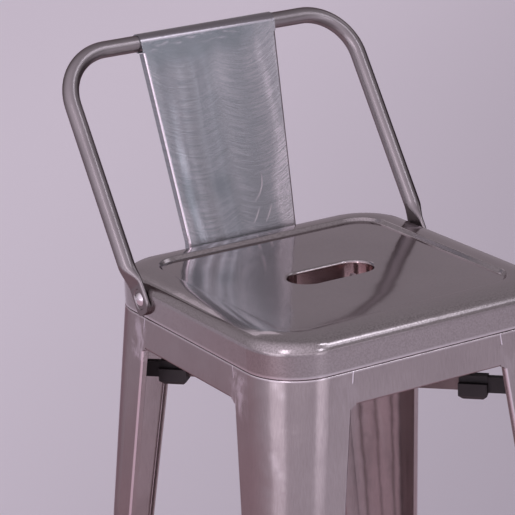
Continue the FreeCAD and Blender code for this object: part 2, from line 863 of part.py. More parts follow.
def splat_fasteners():
    seat = seat_half + splat_sheet
    one_bolt = facing(bolt(seat - skirt_inner), at(splat_bolt_x, seat, bolt_z), Y_AXIS)
    one_nut = facing(nut(), at(splat_bolt_x, skirt_inner, bolt_z), Y_AXIS * -1)
    return group(one_bolt, mirrored(one_bolt)), group(one_nut, mirrored(one_nut))


os.makedirs("parts", exist_ok=True)

save("seat_pan", seat_pan())

one_leg = leg()
one_foot = foot()
for corner, degrees in CORNERS.items():
    save("leg_" + corner, turned(one_leg, degrees))
    save("foot_" + corner, turned(one_foot, degrees))

one_apron = apron()
one_footrest = footrest()
for side, degrees in SIDES.items():
    save("apron_" + side, turned(one_apron, degrees))
    save("footrest_" + side, turned(one_footrest, degrees))

save("brace_right_bar", brace_bar(45, brace_bottom + brace_height / 2))
save("brace_left_bar", brace_bar(135, brace_bottom))
rear_bumper = bumper(bumper_reach_rear)
front_bumper = bumper(bumper_reach_front)
for corner, degrees in CORNERS.items():
    pushed_on = rear_bumper if corner.startswith("rear") else front_bumper
    save("bumper_" + corner, turned(pushed_on, degrees + 45))

save("back_bow", back_bow())
save("back_splat", back_splat())
bow_bolts, bow_nuts = bow_fasteners()
save("bow_bolts", bow_bolts)
save("bow_nuts", bow_nuts)
splat_bolts, splat_nuts = splat_fasteners()
save("splat_bolts", splat_bolts)
save("splat_nuts", splat_nuts)
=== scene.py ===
# %% [markdown]
# # A metal bar stool with a low back
# The stool is pressed and folded from sheet steel, left in its raw grey and sealed with clear lacquer. The
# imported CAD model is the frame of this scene: every sheet, tube, bolt and bumper is already there at its
# real size, so this file gives them their finishes, the studio and the camera.

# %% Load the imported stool
import math

import bpy
from mathutils import Matrix, Vector


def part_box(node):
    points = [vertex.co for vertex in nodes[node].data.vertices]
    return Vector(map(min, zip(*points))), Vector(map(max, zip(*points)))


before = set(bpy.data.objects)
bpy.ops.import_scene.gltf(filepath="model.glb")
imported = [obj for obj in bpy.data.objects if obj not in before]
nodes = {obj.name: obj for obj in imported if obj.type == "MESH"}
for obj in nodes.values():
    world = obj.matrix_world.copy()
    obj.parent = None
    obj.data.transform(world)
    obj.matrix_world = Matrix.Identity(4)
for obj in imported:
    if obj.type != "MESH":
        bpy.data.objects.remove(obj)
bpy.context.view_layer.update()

# %% [markdown]
# ## The camera
# The picture was taken with a long lens from the front left, looking down by about 18 degrees, and the
# camera was not quite level. A camera object could be aimed with a Track To constraint, but that can't give
# the tilt, so its three axes are worked out here and written straight into its matrix.

# %% Camera at the photograph's view
EYE = Vector((-1.2062, -1.9000, 1.5022))
AIM = Vector((-0.0488, 0.0388, 0.7705))
TILT = math.radians(-2.278)
LENS = 178.3        # mm, for a sensor 36 mm wide

backward = (EYE - AIM).normalized()
level = Vector((0, 0, 1)).cross(backward).normalized()
upright = backward.cross(level)
across = level * math.cos(TILT) + upright * math.sin(TILT)
up = upright * math.cos(TILT) - level * math.sin(TILT)

bpy.ops.object.select_all(action="DESELECT")
bpy.ops.object.camera_add()
camera = bpy.context.object
camera.name = "photo_camera"
camera.matrix_world = Matrix((
    (across.x, up.x, backward.x, EYE.x),
    (across.y, up.y, backward.y, EYE.y),
    (across.z, up.z, backward.z, EYE.z),
    (0, 0, 0, 1),
))
camera.data.sensor_width = 36
camera.data.lens = LENS
camera.data.clip_end = 60
bpy.context.scene.camera = camera
print("camera", round((EYE - AIM).length, 2), "m from its aim, lens", LENS, "mm")

# %% [markdown]
# ## Colours and nodes
# Paint charts and photographs give colours as sRGB hex values, but a shader works in linear light, so one
# function turns them. A second one adds a node, sets it and links it, and a third starts an empty material,
# which keeps each finish short enough to read.

# %% Small helpers for materials
def colour(hex_value):
    """A hex colour as linear red, green, blue and alpha."""
    parts = [int(hex_value[i:i + 2], 16) / 255 for i in (1, 3, 5)]
    return (*[p / 12.92 if p <= 0.04045 else ((p + 0.055) / 1.055) ** 2.4 for p in parts], 1.0)


def add(tree, kind, inputs=None, output=None, **settings):
    """Adds a node and sets or links its inputs; gives back the named output, or else the first in use."""
    made = tree.nodes.new(kind)
    for name, value in settings.items():
        setattr(made, name, value)
    for name, value in (inputs or {}).items():
        if isinstance(value, bpy.types.NodeSocket):
            tree.links.new(value, made.inputs[name])
        else:
            made.inputs[name].default_value = value
    if output:
        return made.outputs[output]
    return next((socket for socket in made.outputs if socket.enabled), None)


def new_material(name):
    """An empty node material and its tree."""
    material = bpy.data.materials.new(name)
    material.use_nodes = True
    material.node_tree.nodes.clear()
    return material, material.node_tree


print("pink paper in linear light", [round(c, 3) for c in colour("#ddc7cb")])

# %% [markdown]
# ## The studio floor
# A plain pale floor runs far back and is all that stands behind the stool in the picture, because the
# camera looks down on it. Polished steel mirrors it, and the legs show that it is a little pinker near the
# stool, so the paper's tone changes slowly from place to place. A large plane and one material do for that.

# %% Floor
AWAY = (0.55, 0.84, 0)            # along the floor, away from the camera
FAR_LEFT = (-0.642, 0.767, 0)     # along the floor, to the far left of the picture
PINK_MIDDLE = (-0.9, 0.5, 0)      # on the floor, left of the stool


def floor_paper():
    """Matt studio paper: pale, a little pink round the stool, and greyer to the far right by painted shade.
    """
    material, tree = new_material("matt_studio_paper")
    place = add(tree, "ShaderNodeTexCoord", output="Object")
    cloud = add(tree, "ShaderNodeTexNoise", {"Vector": place, "Scale": 0.8, "Detail": 2.0})
    # Behind the stool a painted light falloff makes it paler towards the far left.
    depth = add(tree, "ShaderNodeVectorMath", {0: place, 1: AWAY}, operation="DOT_PRODUCT")
    behind = add(tree, "ShaderNodeMapRange", {"Value": depth, "From Min": 0.4, "From Max": 0.9})
    leftward = add(tree, "ShaderNodeVectorMath", {0: place, 1: FAR_LEFT}, operation="DOT_PRODUCT")
    leftward = add(tree, "ShaderNodeMapRange", {"Value": leftward, "From Min": -0.9, "From Max": 1.8},
                   interpolation_type="SMOOTHSTEP")
    shaded = add(tree, "ShaderNodeMix",
                 {"Factor": leftward, "A": colour("#b2b0b5"), "B": colour("#f2f1f5")}, data_type="RGBA")
    plain = add(tree, "ShaderNodeMix", {"Factor": cloud, "A": colour("#f2f0f4"), "B": colour("#ebe9ed")},
                data_type="RGBA")
    pale = add(tree, "ShaderNodeMix", {"Factor": behind, "A": plain, "B": shaded}, data_type="RGBA")
    # From 5.6 m behind the stool it turns grey.
    far = add(tree, "ShaderNodeMapRange", {"Value": depth, "From Min": 5.6, "From Max": 6.6})
    pale = add(tree, "ShaderNodeMix", {"Factor": far, "A": pale, "B": colour("#8c868c")}, data_type="RGBA")
    # The pink spreads about 2 m round a place at the left, and ends a little way behind the stool.
    left = add(tree, "ShaderNodeVectorMath", {0: place, 1: PINK_MIDDLE}, operation="DISTANCE")
    near = add(tree, "ShaderNodeMapRange", {"Value": left, "From Min": 2.6, "From Max": 1.2},
               interpolation_type="SMOOTHSTEP")
    before = add(tree, "ShaderNodeMapRange", {"Value": depth, "From Min": 1.15, "From Max": 0.55},
                 interpolation_type="SMOOTHSTEP")
    pink = add(tree, "ShaderNodeMath", {0: near, 1: before}, operation="MULTIPLY")
    tone = add(tree, "ShaderNodeMix", {"Factor": pink, "A": pale, "B": colour("#ddc7cb")}, data_type="RGBA")
    shader = add(tree, "ShaderNodeBsdfPrincipled", {"Base Color": tone, "Roughness": 0.9})
    add(tree, "ShaderNodeOutputMaterial", {"Surface": shader})
    return material


bpy.ops.object.select_all(action="DESELECT")
bpy.ops.mesh.primitive_plane_add(size=24, location=(0, 0, 0))
floor = bpy.context.object
floor.name = "studio_floor"
floor.data.materials.append(floor_paper())
print("floor", [round(d, 1) for d in floor.dimensions], "m")

# %% [markdown]
# ## The light
# Bare steel shows whatever stands round it, so the light is read from the stool's own highlights: a soft
# box at the left, a wide one, a tall one and a high one at the right of the camera, low ones that the legs
# mirror, weak ones at the right and behind, a dark card at the right, and pale walls that are brighter
# towards the front left. The walls could be modelled, but a gradient in the world does the same with less.
# The soft boxes are hidden from the camera, so that no other view shows a lamp.

# %% Soft boxes
def softbox(name, place, aim, width, height, brightness, tint):
    """A rectangular soft light, which also shows as a bright panel in polished steel."""
    bpy.ops.object.select_all(action="DESELECT")
    bpy.ops.object.light_add(type="AREA", location=place)
    lamp = bpy.context.object
    lamp.name = name
    lamp.rotation_euler = (Vector(aim) - Vector(place)).to_track_quat("-Z", "Y").to_euler()
    lamp.data.shape = "RECTANGLE"
    lamp.data.size = width
    lamp.data.size_y = height
    # A matt panel gives off pi times its brightness and area, in watts.
    lamp.data.energy = brightness * math.pi * width * height
    lamp.data.color = colour(tint)[:3]
    lamp.visible_camera = False
    print(name, round(lamp.data.energy, 1), "W")


# Name, place, aim, width, height, brightness and tint, with lengths in metres.
softbox("left_softbox", (-1.92, -1.30, 1.69), (0, 0, 0.75), 0.62, 1.25, 2.15, "#fdf0ff")
softbox("low_left_softbox", (-2.32, -0.85, 0.36), (0, -0.10, 0.36), 1.20, 0.62, 0.50, "#fdf0ff")
softbox("front_right_softbox", (1.35, -2.15, 2.05), (0, 0, 0.76), 0.80, 0.60, 1.0, "#f6f0ff")
softbox("front_softbox", (0.61, -2.66, 1.59), (0, 0, 0.76), 0.34, 0.70, 3.6, "#f6f0ff")
softbox("high_right_softbox", (1.14, -1.54, 2.78), (0, 0.08, 0.80), 0.36, 1.20, 3.1, "#f6f0ff")
softbox("right_softbox", (2.20, 0.15, 2.54), (0.15, 0.19, 0.94), 0.8, 0.8, 0.8, "#f6f0ff")
softbox("low_front_softbox", (0.50, -2.65, 0.25), (0, 0, 0.25), 0.8, 0.45, 0.9, "#fbf0ff")
softbox("front_fill", (-0.40, -3.20, 0.60), (0, 0, 0.60), 5.0, 0.6, 0.36, "#fbf0ff")
softbox("left_fill", (-3.30, -0.90, 0.60), (0, 0, 0.60), 2.6, 0.6, 0.85, "#fbf0ff")
softbox("back_softbox", (0.60, 2.24, 2.33), (0, 0, 0.75), 0.9, 0.3, 0.6, "#fdf0ff")

# %% Dark card
bpy.ops.object.select_all(action="DESELECT")
bpy.ops.mesh.primitive_plane_add(size=1, location=(1.3, 0.0, 0.6), rotation=(0, math.radians(-90), 0))
card = bpy.context.object
card.name = "dark_card"
card.scale = (1.2, 1.5, 1.0)
card.visible_camera = False
card.visible_shadow = False
card.visible_diffuse = False
card_paper, card_tree = new_material("black_card")
fibre = add(card_tree, "ShaderNodeTexNoise", {"Scale": 40.0})
card_tone = add(card_tree, "ShaderNodeMix",
                {"Factor": fibre, "A": colour("#3a2f31"), "B": colour("#443638")}, data_type="RGBA")
card_shader = add(card_tree, "ShaderNodeBsdfPrincipled", {"Base Color": card_tone, "Roughness": 0.9})
add(card_tree, "ShaderNodeOutputMaterial", {"Surface": card_shader})
card.data.materials.append(card_paper)
print("dark card", [round(d, 2) for d in card.dimensions], "m")

# %% Pale walls as a world gradient
BRIGHT_SIDE = (-0.785, -0.453, 0.423)

world = bpy.context.scene.world or bpy.data.worlds.new("studio")
bpy.context.scene.world = world
world.use_nodes = True
sky = world.node_tree
sky.nodes.clear()
direction = add(sky, "ShaderNodeTexCoord", output="Generated")
facing = add(sky, "ShaderNodeVectorMath", {0: direction, 1: BRIGHT_SIDE}, operation="DOT_PRODUCT")
share = add(sky, "ShaderNodeMapRange", {"Value": facing, "From Min": 0.0, "From Max": 1.0})
wall = add(sky, "ShaderNodeMix", {"Factor": share, "A": colour("#9d949c"), "B": colour("#fdeeff")},
           data_type="RGBA")
air = add(sky, "ShaderNodeBackground", {"Color": wall, "Strength": 1.06})
add(sky, "ShaderNodeOutputWorld", {"Surface": air})
bpy.context.scene.view_settings.view_transform = "Standard"
print("world gradient towards", BRIGHT_SIDE)

# %% [markdown]
# ## The seat: pressed sheet under lacquer
# The seat is one sheet of cold-rolled steel, pressed to shape and lacquered. Its sunk panel is a soft
# mirror, and the skirt, which the press drew down, is a little rougher and shows a fine grain. A mirror
# needs only a low roughness, so what makes it look real is small: a slow wave in the sheet that bends
# reflections, fine specks, and tone that varies over a few centimetres.

# %% Where the seat lies
MM = 0.001
seat_low, seat_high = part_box("seat_pan")
SEAT_MIDDLE_Y = (seat_low.y + seat_high.y) / 2
PANEL = seat_high.z - 2.5 * MM      # the sunk panel's height
SEAM = seat_low.z                   # the skirt's lower edge, where it meets the legs
HOLE_REACH = 50 * MM                # the hand hole and its lip lie within this of the seat's middle
print("panel at", round(PANEL, 4), "m, seam at", round(SEAM, 4), "m")

# %% Seat finish
def pressed_seat_steel():
    """Lacquered cold-rolled steel: a soft mirror on the flat, a fine grain on the drawn sides."""
    material, tree = new_material("pressed_seat_steel")
    place = add(tree, "ShaderNodeTexCoord", output="Object")
    # Tone drifts over about 60 mm, and a grain of about 1.5 mm sits on it.
    drift = add(tree, "ShaderNodeTexNoise", {"Vector": place, "Scale": 1 / (60 * MM), "Detail": 3.0})
    grain = add(tree, "ShaderNodeTexNoise", {"Vector": place, "Scale": 1 / (1.5 * MM), "Detail": 2.0})
    tone = add(tree, "ShaderNodeMix", {"Factor": drift, "A": colour("#b4afae"), "B": colour("#a6a2a1")},
               data_type="RGBA")
    # Specks of the grain stand out on the rim and the drawn sides; the flat panel was polished.
    normal = add(tree, "ShaderNodeNewGeometry", output="Normal")
    upward = add(tree, "ShaderNodeSeparateXYZ", {"Vector": normal}, output="Z")
    off_flat = add(tree, "ShaderNodeMapRange", {"Value": upward, "From Min": 0.99, "From Max": 0.94})
    most = add(tree, "ShaderNodeMapRange", {"Value": off_flat, "To Min": 0.2, "To Max": 0.5})
    speck = add(tree, "ShaderNodeMapRange",
                {"Value": grain, "From Min": 0.4, "From Max": 0.65, "To Max": most})
    tone = add(tree, "ShaderNodeMix", {"Factor": speck, "A": tone, "B": colour("#86807f")},
               data_type="RGBA")
    # Inside the hand hole the turned lip is painted a darker pinkish brown as painted shade.
    centred = add(tree, "ShaderNodeMapping", {"Vector": place, "Location": (0, -SEAT_MIDDLE_Y, 0)})
    from_hole = add(tree, "ShaderNodeVectorMath", {0: centred, 1: (1, 1, 0)}, operation="MULTIPLY")
    from_hole = add(tree, "ShaderNodeVectorMath", {0: from_hole}, operation="LENGTH")
    in_hole = add(tree, "ShaderNodeMath", {0: from_hole, 1: HOLE_REACH}, operation="LESS_THAN")
    height = add(tree, "ShaderNodeSeparateXYZ", {"Vector": place}, output="Z")
    sunk = add(tree, "ShaderNodeMapRange",
               {"Value": height, "From Min": PANEL - 1.2 * MM, "From Max": PANEL - 3.5 * MM})
    hole_shade = add(tree, "ShaderNodeMath", {0: in_hole, 1: sunk}, operation="MULTIPLY")
    tone = add(tree, "ShaderNodeMix", {"Factor": hole_shade, "A": tone, "B": colour("#b39592")},
               data_type="RGBA")
    # The drawn sides are painted a little darker as painted shade, and their lower edge, just above the
    # seam, gets a painted highlight.
    drawn = add(tree, "ShaderNodeMapRange",
                {"Value": upward, "From Min": 0.3, "From Max": 0.1, "To Max": 0.25})
    tone = add(tree, "ShaderNodeMix", {"Factor": drawn, "A": tone, "B": colour("#8d8483")},
               data_type="RGBA")
    seam_highlight = add(tree, "ShaderNodeMapRange",
                 {"Value": height, "From Min": SEAM + 3 * MM, "From Max": SEAM + 1 * MM, "To Max": 0.5})
    tone = add(tree, "ShaderNodeMix", {"Factor": seam_highlight, "A": tone, "B": colour("#f4f0f2")},
               data_type="RGBA")
    # The flat panel is smoother than the drawn sides.
    smooth = add(tree, "ShaderNodeMapRange",
                 {"Value": upward, "From Min": 0.5, "From Max": 0.98, "To Min": 0.17, "To Max": 0.09})
    rough = add(tree, "ShaderNodeMath", {0: grain, 1: 0.03, 2: smooth}, operation="MULTIPLY_ADD")
    # A slow wave of about 40 mm bends reflections by about a degree.
    wave = add(tree, "ShaderNodeTexNoise", {"Vector": place, "Scale": 1 / (40 * MM), "Detail": 1.0})
    bent = add(tree, "ShaderNodeBump", {"Height": wave, "Strength": 1.0, "Distance": 0.3 * MM})
    # On the rim and the sides the grain is 0.03 mm deep and glints.
    glint = add(tree, "ShaderNodeMath", {0: grain, 1: off_flat}, operation="MULTIPLY")
    bent = add(tree, "ShaderNodeBump",
               {"Height": glint, "Strength": 1.0, "Distance": 0.03 * MM, "Normal": bent})
    # On a metal the specular tint is the colour that it has at a grazing angle.
    shader = add(tree, "ShaderNodeBsdfPrincipled", {
        "Base Color": tone, "Metallic": 1.0, "Roughness": rough, "Normal": bent,
        "Specular Tint": colour("#e2dadd"), "Coat Weight": 0.6, "Coat Roughness": 0.08,
    })
    add(tree, "ShaderNodeOutputMaterial", {"Surface": shader})
    return material


seat_steel = pressed_seat_steel()
print("seat finish", len(seat_steel.node_tree.nodes), "nodes")

# %% [markdown]
# ## The splat: swirl-brushed sheet
# The back's flat sheet was brushed by hand with a wheel in two passes, one beside the other. Each pass left
# fine arcs that sag in their middle, and the thin sheet came out a little wavy. Soft bands of reflected
# light down its length are painted into its colour as painted reflection. The arcs could be drawn along a
# UV map, but the sheet is flat and the same for its whole length, so a parabola on the object's own
# coordinates gives them.

# %% Brush marks
LANE = 31 * MM        # each brushing pass is centred this far from the middle
LANE_SAG = 9.8        # an arc is 12 mm lower in its middle than 35 mm to the side


def brush_marks(tree, place, split):
    """The fine arcs that the wheel left, and the grain between them."""
    # Height along an arc: the sag is taken off, so one value follows each brush mark.
    side = add(tree, "ShaderNodeMath", {0: split["X"]}, operation="ABSOLUTE")
    off_lane = add(tree, "ShaderNodeMath", {0: side, 1: LANE}, operation="SUBTRACT")
    squared = add(tree, "ShaderNodeMath", {0: off_lane, 1: off_lane}, operation="MULTIPLY")
    arc = add(tree, "ShaderNodeMath", {0: squared, 1: -LANE_SAG, 2: split["Z"]}, operation="MULTIPLY_ADD")
    # Marks 1.5 mm apart and about 25 mm long, with a grain of 0.7 mm.
    marks_at = add(tree, "ShaderNodeCombineXYZ", {"X": split["X"], "Z": arc})
    marks_at = add(tree, "ShaderNodeMapping",
                   {"Vector": marks_at, "Scale": (1 / (25 * MM), 1.0, 1 / (1.5 * MM))})
    marks = add(tree, "ShaderNodeTexNoise", {"Vector": marks_at, "Scale": 1.0, "Detail": 3.0})
    grain = add(tree, "ShaderNodeTexNoise", {"Vector": place, "Scale": 1 / (0.7 * MM), "Detail": 1.0})
    return marks, grain


print("brush arcs sag", round(LANE_SAG * (35 * MM) ** 2 / MM, 1), "mm over 35 mm")

# %% Bands and waves
splat_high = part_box("back_splat")[1]
RAIL_EDGE = splat_high.z - 14.6 * MM    # where the flat sheet meets the roll round the rail
SEAT_HALF_WIDTH = 61 * MM               # half the sheet's width at the seat's height
# Share of the width from the left, and how light the painted band of reflected light is there.
PAINTED_BANDS = (
    (0.00, 0.25), (0.05, 0.25), (0.10, 0.15), (0.18, 0.24), (0.28, 0.25), (0.38, 0.14), (0.45, 0.16),
    (0.55, 0.28), (0.62, 0.25), (0.70, 0.24), (0.80, 0.36), (0.88, 0.50), (1.00, 0.56),
)
# Share of the width from the left, and the sheet's height there as a share of the whole wave.
WAVES = (
    (0.00, 0.00), (0.03, 0.03), (0.24, 0.63), (0.33, 0.57), (0.46, 0.92), (0.56, 0.90), (1.00, 0.70),
)


def bands_and_waves(tree, place, split):
    """The painted bands of reflected light and how far the sheet bulges, by the place across it."""
    # Where the point lies across the tapering sheet, from 0 at the left fold to 1 at the right. The bands
    # wander by up to 7 mm.
    half = add(tree, "ShaderNodeMapRange", {
        "Value": split["Z"], "From Min": seat_high.z, "From Max": RAIL_EDGE,
        "To Min": SEAT_HALF_WIDTH, "To Max": splat_high.x,
    }, clamp=False)
    wander = add(tree, "ShaderNodeTexNoise", {"Vector": place, "Scale": 1 / (70 * MM), "Detail": 1.0})
    wander = add(tree, "ShaderNodeMath", {0: wander, 1: 14 * MM, 2: -7 * MM}, operation="MULTIPLY_ADD")
    shifted = add(tree, "ShaderNodeMath", {0: split["X"], 1: wander}, operation="ADD")
    ratio = add(tree, "ShaderNodeMath", {0: shifted, 1: half}, operation="DIVIDE")
    share = add(tree, "ShaderNodeMapRange", {"Value": ratio, "From Min": -1.0, "From Max": 1.0})
    ramps = []
    for stops in (PAINTED_BANDS, WAVES):
        ramp = add(tree, "ShaderNodeValToRGB", {"Fac": share})
        ramp.node.color_ramp.interpolation = "EASE"
        for stop in stops[1:-1]:
            ramp.node.color_ramp.elements.new(stop[0])
        for element, (at, light) in zip(ramp.node.color_ramp.elements, stops):
            element.position = at
            element.color = (light, light, light, 1.0)
        ramps.append(ramp)
    return ramps


print(len(PAINTED_BANDS), "band stops,", len(WAVES), "wave stops, rail edge at", round(RAIL_EDGE, 4), "m")

# %% Painted spots of light and shade, and scratches
# Painted spots of reflected light and shade: x, z, half width and half height in mm, and how much lighter
# it is.
PAINTED_SPOTS = (
    (51, 922, 5, 18, 0.20), (55, 892, 5, 22, 0.35), (57, 858, 5, 26, 0.28), (71, 912, 4, 26, 0.30),
    (62, 822, 12, 34, 0.60), (57, 784, 16, 40, 1.00), (-58, 778, 6, 24, 0.30), (-28, 782, 13, 26, 0.10),
    (3, 906, 15, 18, 0.12), (-50, 803, 9, 24, -0.20), (-16, 806, 14, 16, -0.15),
    (-45, 946, 45, 24, -0.30), (25, 948, 55, 22, -0.30),
)
# Scratches as arcs: the centre's x and z, the radius, the lowest and the highest z, in mm.
SCRATCHES = (
    (2.6, 808.7, 28.1, 783, 813), (-23.4, 804.5, 64.4, 763, 781), (-24.5, 799.5, 50.8, 764, 781),
)


def with_painted_spots(tree, painted_band, flat):
    """The painted bands with the painted spots of reflected light and shade."""
    for x, z, wide, tall, light in PAINTED_SPOTS:
        spot = add(tree, "ShaderNodeMapping", {
            "Vector": flat, "Location": (-x / wide, 0, -z / tall),
            "Scale": (1 / (wide * MM), 1, 1 / (tall * MM)),
        })
        spot = add(tree, "ShaderNodeVectorMath", {0: spot}, operation="LENGTH")
        spot = add(tree, "ShaderNodeMapRange",
                   {"Value": spot, "From Min": 1.3, "From Max": 0.1, "To Max": light},
                   interpolation_type="SMOOTHSTEP")
        painted_band = add(tree, "ShaderNodeMath", {0: painted_band, 1: spot}, operation="ADD")
    return painted_band


def with_scratches(tree, tone, flat, split):
    """The tone with each scratch as bare bright metal, about 1.4 mm wide."""
    for x, z, radius, low, high in SCRATCHES:
        line = add(tree, "ShaderNodeVectorMath", {0: flat, 1: (x * MM, 0, z * MM)}, operation="DISTANCE")
        line = add(tree, "ShaderNodeMath", {0: line, 1: radius * MM}, operation="SUBTRACT")
        line = add(tree, "ShaderNodeMath", {0: line}, operation="ABSOLUTE")
        line = add(tree, "ShaderNodeMapRange", {"Value": line, "From Min": 1.2 * MM, "From Max": 0.2 * MM})
        along = add(tree, "ShaderNodeMapRange",
                    {"Value": split["Z"], "From Min": low * MM, "From Max": high * MM})
        along = add(tree, "ShaderNodeMath", {0: along, 1: math.pi}, operation="MULTIPLY")
        along = add(tree, "ShaderNodeMath", {0: along}, operation="SINE")
        right = add(tree, "ShaderNodeMath", {0: split["X"], 1: x * MM}, operation="GREATER_THAN")
        along = add(tree, "ShaderNodeMath", {0: along, 1: right}, operation="MULTIPLY")
        line = add(tree, "ShaderNodeMath", {0: line, 1: along}, operation="MULTIPLY")
        tone = add(tree, "ShaderNodeMix", {"Factor": line, "A": tone, "B": colour("#cdc9cb")},
                   data_type="RGBA")
    return tone


print(len(PAINTED_SPOTS), "painted_spots,", len(SCRATCHES), "scratches")

# %% Splat finish
def swirl_brushed_steel():
    """Wheel-brushed steel: cool and soft, with painted bands of reflected light and fine sagging arcs."""
    material, tree = new_material("swirl_brushed_steel")
    place = add(tree, "ShaderNodeTexCoord", output="Object")
    split = add(tree, "ShaderNodeSeparateXYZ", {"Vector": place}).node.outputs
    flat = add(tree, "ShaderNodeCombineXYZ", {"X": split["X"], "Z": split["Z"]})
    marks, grain = brush_marks(tree, place, split)
    painted_band, wave = bands_and_waves(tree, place, split)
    painted_band = with_painted_spots(tree, painted_band, flat)
    tone = add(tree, "ShaderNodeMix", {"Factor": painted_band, "A": colour("#8e9598"), "B": colour("#ece8eb")},
               data_type="RGBA")
    dark = add(tree, "ShaderNodeMath", {0: marks, 1: grain}, operation="ADD")
    dark = add(tree, "ShaderNodeMapRange",
               {"Value": dark, "From Min": 0.75, "From Max": 1.25, "To Max": 0.6})
    tone = add(tree, "ShaderNodeMix", {"Factor": dark, "A": tone, "B": colour("#767e81")}, data_type="RGBA")
    tone = with_scratches(tree, tone, flat, split)
    rough = add(tree, "ShaderNodeMapRange", {"Value": marks, "To Min": 0.23, "To Max": 0.28})
    # Round the rail the sheet was rolled, not brushed, so it is smoother there, and its upturned face is
    # painted darker as painted shade. Painted highlights show here and there below it.
    normal = add(tree, "ShaderNodeNewGeometry", output="Normal")
    facing = add(tree, "ShaderNodeSeparateXYZ", {"Vector": normal}).node.outputs
    rolled_and_shaded = add(tree, "ShaderNodeMapRange", {"Value": facing["Z"], "From Min": 0.262, "From Max": 0.38})
    tone = add(tree, "ShaderNodeMix", {"Factor": rolled_and_shaded, "A": tone, "B": colour("#929093")},
               data_type="RGBA")
    rough = add(tree, "ShaderNodeMath", {0: rolled_and_shaded, 1: -0.12, 2: rough}, operation="MULTIPLY_ADD")
    # Painted highlights along the break below the rail.
    break_highlight_at = add(tree, "ShaderNodeMapping", {"Vector": place, "Scale": (1 / (14 * MM), 1.0, 1 / (3 * MM))})
    break_highlight = add(tree, "ShaderNodeTexNoise", {"Vector": break_highlight_at, "Scale": 1.0, "Detail": 2.0})
    break_highlight = add(tree, "ShaderNodeMapRange", {"Value": break_highlight, "From Min": 0.55, "From Max": 0.70, "To Max": 0.3})
    edge = add(tree, "ShaderNodeMapRange",
               {"Value": split["Z"], "From Min": RAIL_EDGE - 3.5 * MM, "From Max": RAIL_EDGE - 0.5 * MM})
    edge = add(tree, "ShaderNodeMath", {0: edge, 1: rolled_and_shaded}, operation="SUBTRACT", use_clamp=True)
    break_highlight = add(tree, "ShaderNodeMath", {0: break_highlight, 1: edge}, operation="MULTIPLY")
    tone = add(tree, "ShaderNodeMix", {"Factor": break_highlight, "A": tone, "B": colour("#cfcacd")}, data_type="RGBA")
    # The folded edges are smoother and painted bright as a painted highlight.
    turned = add(tree, "ShaderNodeMath", {0: facing["X"]}, operation="ABSOLUTE")
    risen = add(tree, "ShaderNodeMapRange", {"Value": turned, "From Min": 0.1, "From Max": 0.4})
    fallen = add(tree, "ShaderNodeMapRange", {"Value": turned, "From Min": 0.97, "From Max": 0.85})
    smooth_fold_highlight = add(tree, "ShaderNodeMath", {0: risen, 1: fallen}, operation="MULTIPLY")
    tone = add(tree, "ShaderNodeMix", {"Factor": smooth_fold_highlight, "A": tone, "B": colour("#eae6ea")}, data_type="RGBA")
    rough = add(tree, "ShaderNodeMath", {0: smooth_fold_highlight, 1: -0.2, 2: rough}, operation="MULTIPLY_ADD")
    # The waves are 3 mm high in all, tilt the sheet by up to 6 degrees and end below the rail. The brush
    # marks are 0.04 mm deep.
    calm = add(tree, "ShaderNodeMapRange",
               {"Value": split["Z"], "From Min": RAIL_EDGE - 1 * MM, "From Max": RAIL_EDGE - 23 * MM})
    bent = add(tree, "ShaderNodeBump", {"Height": wave, "Strength": calm, "Distance": 3 * MM})
    bent = add(tree, "ShaderNodeBump",
               {"Height": marks, "Strength": 1.0, "Distance": 0.04 * MM, "Normal": bent})
    # Marks that run across stretch highlights up and down, which is along the tangent here.
    vertical = add(tree, "ShaderNodeCombineXYZ", {"Z": 1.0})
    shader = add(tree, "ShaderNodeBsdfPrincipled", {
        "Base Color": tone, "Metallic": 1.0, "Roughness": rough, "Normal": bent, "Tangent": vertical,
        "Anisotropic": 0.95, "Coat Weight": 0.1, "Coat Roughness": 0.12,
    })
    add(tree, "ShaderNodeOutputMaterial", {"Surface": shader})
    return material


splat_steel = swirl_brushed_steel()
print("splat finish", len(splat_steel.node_tree.nodes), "nodes")

# %% [markdown]
# ## Legs and aprons: folded sheet with ground welds
# Each leg is folded from sheet and welded to the aprons beside it. The weld was ground flush with a disc,
# which left a brighter, scratchy patch between the slit and the corner of the opening. All four sides have
# the same shape, so the patch is placed by the smaller of the two distances from the middle planes, which
# runs along each face.

# %% Ground weld patches
PATCH_AT = 89 * MM            # the patch's middle, from the stool's middle plane
PATCH_DROP = 24.5 * MM        # and below the seam


